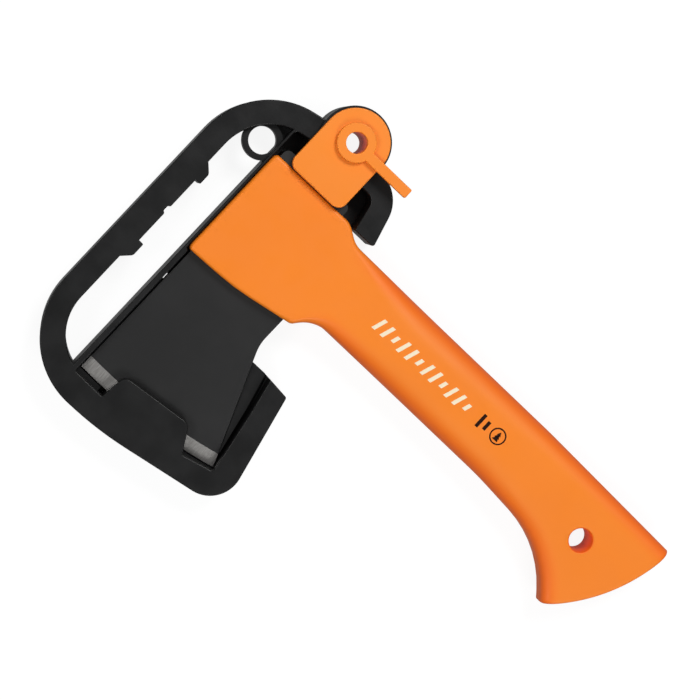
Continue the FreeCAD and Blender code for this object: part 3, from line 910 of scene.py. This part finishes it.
@dataclass
class PrintedMarks:
    """Plain printed marks on the grip: slanted bars, and a tree in a ring. Sizes are in millimetres.

    Attributes:
        first_bar: Centre of the first bar, along and across the hatchet.
        bars: How many bars there are.
        bar: Length and width of one bar.
        short: Length of a short bar as a share of a long one.
        short_every: One bar in so many is short.
        pitch: Distance between bars.
        slant: How far a bar leans.
        ring: Centre of the ring.
        ring_radius: Its outer radius.
        ring_width: Its width.
        ring_steps: How many straight steps it has.
        branches: Centre and radius of each of the tree's triangles, from its foot to its tip.
        dashes: Centre and length of each of the two dashes beside the ring.
        dash_width: Width of a dash.
        lift: How far the ink stands above the plastic.
        above: Height from which a mark is dropped on the grip.
    """

    first_bar: tuple[float, float] = (75.5, -22.6)
    bars: int = 12
    bar: tuple[float, float] = (6.0, 1.7)
    short: float = 0.55
    short_every: int = 3
    pitch: float = 4.5
    slant: float = 0.32
    ring: tuple[float, float] = (142.6, -22.6)
    ring_radius: float = 3.6
    ring_width: float = 0.6
    ring_steps: int = 40
    branches: tuple[tuple[float, float], ...] = ((-1.2, 1.7), (-0.1, 1.4), (1.0, 1.1))
    dashes: tuple[tuple[float, float], ...] = ((-9.6, 6.4), (-6.4, 4.2))
    dash_width: float = 1.5
    lift: float = 0.06
    above: float = 30.0

    def bar_row(self) -> bmesh.types.BMesh:
        """Make the flat slanted bars, some of them short.

        Returns:
            Their bmesh in the hatchet's own axes.
        """
        shape = bmesh.new()
        length, width = self.bar
        for index in range(self.bars):
            is_short = index % self.short_every == self.short_every - 1
            tall = length * (self.short if is_short else 1.0)
            made = bmesh.ops.create_grid(shape, x_segments=4, y_segments=8, size=0.5)["verts"]
            bmesh.ops.scale(shape, verts=made, vec=(width, tall, 1))
            for vert in made:
                vert.co.x += vert.co.y * self.slant
            place = (self.first_bar[0] + index * self.pitch, self.first_bar[1], 0)
            bmesh.ops.translate(shape, verts=made, vec=place)
        return shape

    def tree_badge(self) -> bmesh.types.BMesh:
        """Make the flat ring with a tree in it, and the dashes beside it.

        Returns:
            Their bmesh in the hatchet's own axes.
        """
        shape = bmesh.new()
        ends = [shape.verts.new((self.ring_radius - inset, 0, 0)) for inset in (0.0, self.ring_width)]
        bmesh.ops.spin(shape, geom=[*ends, shape.edges.new(ends)], angle=2 * math.pi,
                       steps=self.ring_steps, axis=(0, 0, 1), cent=(0, 0, 0), use_merge=True)
        for centre, radius in self.branches:
            made = bmesh.ops.create_circle(shape, cap_ends=True, segments=3, radius=radius)["verts"]
            bmesh.ops.translate(shape, verts=made, vec=(0, centre, 0))
        for centre, length in self.dashes:
            made = bmesh.ops.create_grid(shape, x_segments=3, y_segments=4, size=0.5)["verts"]
            bmesh.ops.scale(shape, verts=made, vec=(self.dash_width, length, 1))
            bmesh.ops.translate(shape, verts=made, vec=(centre, 0, 0))
        bmesh.ops.translate(shape, verts=shape.verts, vec=(*self.ring, 0))
        return shape

    def lay(self, shape: bmesh.types.BMesh, surface: BVHTree) -> None:
        """Drop a flat shape on the front of the grip and give it a skin's thickness.

        Args:
            shape: The flat shape in the hatchet's own axes.
            surface: The grip's surface in the same axes.
        """
        for vert in shape.verts:
            hit = surface.ray_cast(Vector((vert.co.x, vert.co.y, self.above)), Vector((0, 0, -1)))[0]
            vert.co.z = hit.z + self.lift
        bmesh.ops.recalc_face_normals(shape, faces=shape.faces)
        if sum(face.normal.z for face in shape.faces) < 0:
            bmesh.ops.reverse_faces(shape, faces=shape.faces)
        bmesh.ops.solidify(shape, geom=shape.faces, thickness=2 * self.lift)

    def build(self, grip: bpy.types.Object) -> None:
        """Make both marks.

        Args:
            grip: The moulding that they are printed on.
        """
        origin = hatchet_origin()
        surface = BVHTree.FromPolygons([vert.co / MM - origin for vert in grip.data.vertices],
                                       [face.vertices for face in grip.data.polygons])
        pale = PrintInk("pale_marks_ink", (0.92, 0.80, 0.58))
        dark = PrintInk("dark_marks_ink", (0.016, 0.0035, 0.001))
        for name, shape, ink in (("pale_marks", self.bar_row(), pale),
                                 ("dark_marks", self.tree_badge(), dark)):
            self.lay(shape, surface)
            make_piece(name, shape, ink.build())


@dataclass
class Hatchet:
    """The head and its moulded handle.

    Attributes:
        edge_centre_in: From the head's low corner to the centre of the edge's sweep, along the hatchet.
        edge_sweep: Radius of the cutting edge.
        bevel_width: Width of the ground bevel.
        mid_height: Height of the hatchet's middle plane above the floor.
    """

    edge_centre_in: float = 12.6 * MM
    edge_sweep: float = 238.0 * MM
    bevel_width: float = 5.7 * MM
    mid_height: float = 12.0 * MM

    def build(self) -> None:
        """Dress the head, the handle and its plug."""
        low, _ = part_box(Node.HEAD.value)
        centre = Vector((low.x + self.edge_centre_in, low.y + self.edge_sweep, self.mid_height))
        steel = CoatedSteel("coated_head", centre, self.edge_sweep - self.bevel_width)
        dress(Node.HEAD, steel.build())
        # The deeper flank colour is painted shade on the handle's sides and in its hanging hole, where
        # light falls off.
        orange = MouldedPlastic("orange_handle", (0.94, 0.235, 0.010), (0.91, 0.222, 0.009),
                                parting=self.mid_height, painted_shade_colour=(0.945, 0.150, 0.007))
        grip = GripShell().build(orange.build())
        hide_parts(Node.SHELL.value)
        PrintedMarks().build(grip)
        plug = MouldedPlastic("orange_plug", (0.82, 0.19, 0.010), (0.78, 0.175, 0.009))
        dress(Node.PLUG, plug.build())


@dataclass
class Sheath:
    """The black carrying sheath.

    Attributes:
        plastic: Its finish.
    """

    plastic: MouldedPlastic = MouldedPlastic(
        "black_sheath", (0.0065, 0.0066, 0.0068), (0.0085, 0.0086, 0.0088),
        roughness=0.36, specular=0.30, grain=1300.0, depth=0.00004)

    def build(self) -> None:
        """Dress the moulding."""
        dress(Node.FRAME, self.plastic.build())


@dataclass
class Lock:
    """The swinging lock and the hollow pin that it turns on.

    Attributes:
        plastic: Finish of the plate and the lever.
        smooth: Smoother finish of the pin.
        plated: Finish of the washers.
    """

    plastic: MouldedPlastic = MouldedPlastic("orange_lock", (0.94, 0.255, 0.017), (0.91, 0.240, 0.015))
    smooth: MouldedPlastic = MouldedPlastic("orange_pin", (0.94, 0.21, 0.03), (0.90, 0.20, 0.03),
                                            roughness=0.36, specular=0.25, depth=0.00001)
    plated: PlatedSteel = PlatedSteel("plated_washers")

    def build(self) -> None:
        """Dress the plate, the lever, the pin and its washers."""
        orange = self.plastic.build()
        dress(Node.PLATE, orange)
        dress(Node.LEVER, orange)
        dress(Node.PIN, self.smooth.build())
        steel = self.plated.build()
        dress(Node.REAR_WASHER, steel)
        dress(Node.SPRING_WASHER, steel)


# ---------------------------------------------------------------------------------------------
# Studio
# ---------------------------------------------------------------------------------------------


@dataclass(frozen=True)
class SoftBox:
    """A square area light that faces the object.

    Attributes:
        name: The light's name.
        bearing: Its direction about +Z from +X, in degrees.
        height: Its angle above the floor, in degrees.
        power: Its power in watts.
        size: The length of its side.
        reach: Its distance from the middle of the object's base.
    """

    name: str
    bearing: float
    height: float
    power: float
    size: float = 0.5
    reach: float = 1.5

    def build(self) -> None:
        """Make the light."""
        turn = math.radians(self.bearing)
        rise = math.radians(self.height)
        away = Vector((math.cos(turn) * math.cos(rise), math.sin(turn) * math.cos(rise), math.sin(rise)))
        data = bpy.data.lights.new(self.name, "AREA")
        data.energy = self.power
        data.size = self.size
        lamp = bpy.data.objects.new(self.name, data)
        lamp.location = away * self.reach
        lamp.rotation_mode = "QUATERNION"
        lamp.rotation_quaternion = away.to_track_quat("Z", "Y")
        bpy.context.scene.collection.objects.link(lamp)


@dataclass
class Studio:
    """Plain pale floor, soft lights and the camera.

    Attributes:
        aim: Point that the camera looks at, from the middle of the object's base.
        distance: From the camera to that point.
        tilt: Degrees between the view and straight down.
        bearing: Direction from the aim to the camera, in degrees about +Z from +X.
        roll: Degrees that the camera is turned about its view.
        lens: Focal length in millimetres.
        sensor: Width of the camera's sensor in millimetres.
        nearest: Nearest distance that the camera shows.
        farthest: Farthest distance that it shows.
        floor_size: Side of the square floor in metres.
        floor_gap: How far the floor lies below the object.
        floor_grey: The floor's colour.
        floor_glow: Brightness of the floor's own light.
        floor_bounce: How much of it lights the object.
        zenith: Brightness of the room straight above.
        horizon: Brightness of the room at the floor's edge.
        fade: Heights between which the room's brightness changes.
        boxes: The soft boxes round the object.
    """

    aim: Vector = field(default_factory=lambda: Vector((-25.2, 8.2, 12.0)) * MM)
    distance: float = 977.0 * MM
    tilt: float = 8.35
    bearing: float = -171.4
    roll: float = 43.1
    lens: float = 123.4
    sensor: float = 36.0
    nearest: float = 0.05
    farthest: float = 20.0
    floor_size: float = 6.0
    floor_gap: float = 0.4 * MM
    floor_grey: float = 0.14
    floor_glow: float = 0.9
    floor_bounce: float = 0.24
    zenith: float = 0.20
    horizon: float = 0.22
    fade: tuple[float, float] = (0.2, 0.9)
    boxes: tuple[SoftBox, ...] = (
        SoftBox("key", 100.0, 55.0, 11.5), SoftBox("left", 220.0, 52.0, 5.6),
        SoftBox("right", 330.0, 52.0, 5.6))

    def camera(self) -> None:
        """Make the scene's camera."""
        tilt = math.radians(self.tilt)
        bearing = math.radians(self.bearing)
        back = Vector((math.sin(tilt) * math.cos(bearing), math.sin(tilt) * math.sin(bearing),
                       math.cos(tilt)))
        level = (-back).cross(Vector((0, 1, 0))).normalized()
        above = level.cross(-back).normalized()
        roll = math.radians(self.roll)
        right = level * math.cos(roll) + above * math.sin(roll)
        up = above * math.cos(roll) - level * math.sin(roll)
        data = bpy.data.cameras.new("studio_camera")
        data.sensor_width = self.sensor
        data.lens = self.lens
        data.clip_start = self.nearest
        data.clip_end = self.farthest
        camera = bpy.data.objects.new("studio_camera", data)
        turn = Matrix((right, up, back)).transposed().to_4x4()
        camera.matrix_world = Matrix.Translation(self.aim + back * self.distance) @ turn
        bpy.context.scene.collection.objects.link(camera)
        bpy.context.scene.camera = camera

    def floor(self) -> None:
        """Make the pale floor, which glows a little like a light table."""
        mesh = bpy.data.meshes.new("floor")
        shape = bmesh.new()
        bmesh.ops.create_grid(shape, x_segments=1, y_segments=1, size=self.floor_size / 2)
        bmesh.ops.translate(shape, verts=shape.verts, vec=(0, 0, -self.floor_gap))
        shape.to_mesh(mesh)
        shape.free()
        floor = bpy.data.objects.new("floor", mesh)
        tree = NodeTree("pale_floor")
        tree.shader.inputs["Base Color"].default_value = (*[self.floor_grey] * 3, 1)
        tree.shader.inputs["Roughness"].default_value = 0.9
        tree.shader.inputs["Specular IOR Level"].default_value = 0.0
        tree.shader.inputs["Emission Color"].default_value = (1, 1, 1, 1)
        seen = tree.nodes.new("ShaderNodeLightPath").outputs["Is Camera Ray"]
        glow = tree.math("MULTIPLY_ADD", seen, self.floor_glow - self.floor_bounce, self.floor_bounce)
        tree.join(glow, tree.shader.inputs["Emission Strength"])
        mesh.materials.append(tree.material)
        bpy.context.scene.collection.objects.link(floor)

    def lights(self) -> None:
        """Light the object with the soft boxes and a dim white room."""
        world = bpy.data.worlds.new("pale_room")
        world.use_nodes = True
        nodes = world.node_tree.nodes
        links = world.node_tree.links
        direction = nodes.new("ShaderNodeTexCoord").outputs["Generated"]
        parts = nodes.new("ShaderNodeSeparateXYZ")
        links.new(direction, parts.inputs["Vector"])
        fade = nodes.new("ShaderNodeMapRange")
        for name, number in (("From Min", self.fade[0]), ("From Max", self.fade[1]),
                             ("To Min", self.horizon), ("To Max", self.zenith)):
            fade.inputs[name].default_value = number
        links.new(parts.outputs["Z"], fade.inputs["Value"])
        nodes["Background"].inputs["Color"].default_value = (1, 1, 1, 1)
        links.new(fade.outputs["Result"], nodes["Background"].inputs["Strength"])
        bpy.context.scene.world = world
        for box in self.boxes:
            box.build()

    def build(self) -> None:
        """Make the whole studio."""
        self.camera()
        self.floor()
        self.lights()
        bpy.context.scene.view_settings.view_transform = "Standard"


def main() -> None:
    """Build the object and its studio."""
    logging.basicConfig(level=logging.INFO)
    Hatchet().build()
    Sheath().build()
    Lock().build()
    Studio().build()


if __name__ == "__main__":
    main()
